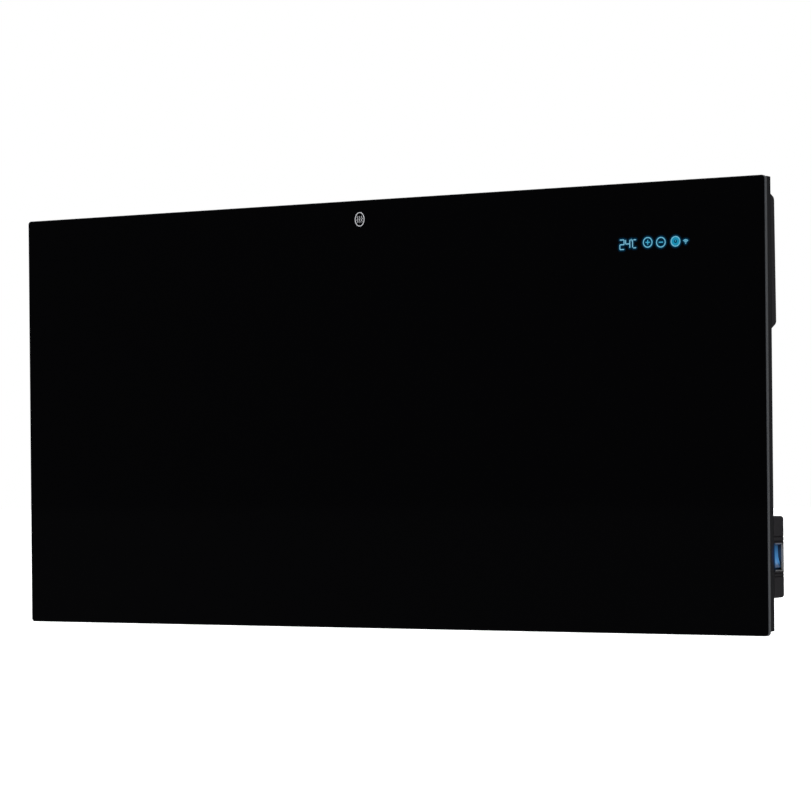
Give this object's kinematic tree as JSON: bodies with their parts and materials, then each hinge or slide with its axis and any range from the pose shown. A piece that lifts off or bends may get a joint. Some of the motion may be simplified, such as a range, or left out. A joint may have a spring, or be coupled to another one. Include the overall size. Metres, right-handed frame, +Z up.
{
  "type": "infrared panel heater",
  "caption": "Frameless black glass infrared heater that hooks onto wall brackets, with a touch display, a steel back pan, a control box and a power box with a lit rocker switch.",
  "frame": {"origin": "centre of the rectangle of four wall-screw holes, on the wall plane, straight behind the centre of the glass", "axes": "+X to the right as seen from the room, +Y towards the wall, +Z up; the wall is y = 0 and the glass faces -Y"},
  "size_m": [1, 0.0505, 0.5],
  "materials": {
    "black_glass": "gloss, tempered, light grey ground edge",
    "silicone": "matt",
    "carbon_film": "matt",
    "copper": "bare",
    "mica": "pearly",
    "foil": "bright",
    "insulation": "felted mineral fibre",
    "black_steel": "satin powder coat",
    "bracket_steel": "satin powder coat",
    "bright_steel": "zinc plated",
    "black_plastic": "finely textured",
    "grey_plastic": "smooth",
    "white_plastic": "smooth",
    "black_rubber": "matt",
    "board_green": "solder resist",
    "wire_red": "smooth",
    "wire_grey": "smooth",
    "relay_blue": "smooth",
    "yellow_tape": "taped",
    "can_aluminium": "sleeved",
    "blue_rocker": "translucent",
    "lamp_clear": "clear",
    "contact_brass": "bare",
    "fuse_body": "sleeved"
  },
  "bodies": {
    "wall_brackets": {"wall_bracket_left": "bracket_steel", "wall_bracket_right": "bracket_steel"},
    "heater": {"glass_panel": "black_glass", "silicone_bead": "silicone", "heating_strips": "carbon_film", "busbars": "copper", "mica_sheet": "mica", "reflector_foil": "foil", "insulation_board": "insulation", "thermal_cutout": "bright_steel", "thermal_fuse": "fuse_body", "back_pan": "black_steel", "lead_grommet": "black_rubber", "hanger_cleats": "black_steel", "wall_bumpers": "black_rubber", "control_cover": "black_plastic", "control_cover_screws": "bright_steel", "touch_board": "board_green", "touch_board_frame": "grey_plastic", "touch_springs": "bright_steel", "display_module": "grey_plastic", "radio_module": "bright_steel", "room_sensor": "grey_plastic", "cable_duct": "black_plastic", "wire_harness": "wire_grey", "harness_plugs": "white_plastic", "power_base": "grey_plastic", "power_cover": "black_plastic", "power_cover_screws": "bright_steel", "power_board": "board_green", "relay": "relay_blue", "transformer": "yellow_tape", "capacitor": "can_aluminium", "lead_terminal": "white_plastic", "supply_terminal": "white_plastic", "earth_stud": "bright_steel", "earth_nut": "bright_steel", "element_leads": "wire_red", "gland_body": "black_plastic", "gland_seal": "black_rubber", "gland_cap": "black_plastic", "gland_locknut": "black_plastic", "switch_housing": "black_plastic", "switch_terminals": "contact_brass", "mains_wires": "wire_grey", "switch_lamp": "lamp_clear"},
    "rocker_button": {"rocker": "blue_rocker", "rocker_plunger": "white_plastic"},
    "contact_arm": {"contact_lever": "contact_brass"}
  },
  "joints": [
    {"name": "heater_lift", "type": "slide", "parent": "wall_brackets", "child": "heater", "axis": [0, 0, 1], "range_m": [0, 0.012]},
    {"name": "rocker_hinge", "type": "hinge", "parent": "heater", "child": "rocker_button", "pos_m": [0.4911, -0.0202, -0.1651], "axis": [0, 1, 0], "range_deg": [0, 16]},
    {"name": "contact_hinge", "type": "hinge", "parent": "heater", "child": "contact_arm", "pos_m": [0.4797, -0.0202, -0.1651], "axis": [0, 1, 0], "range_deg": [-16, 0]}
  ],
  "couplings": [
    {"joint": "contact_hinge", "follows": "rocker_hinge", "ratio": -1}
  ]
}
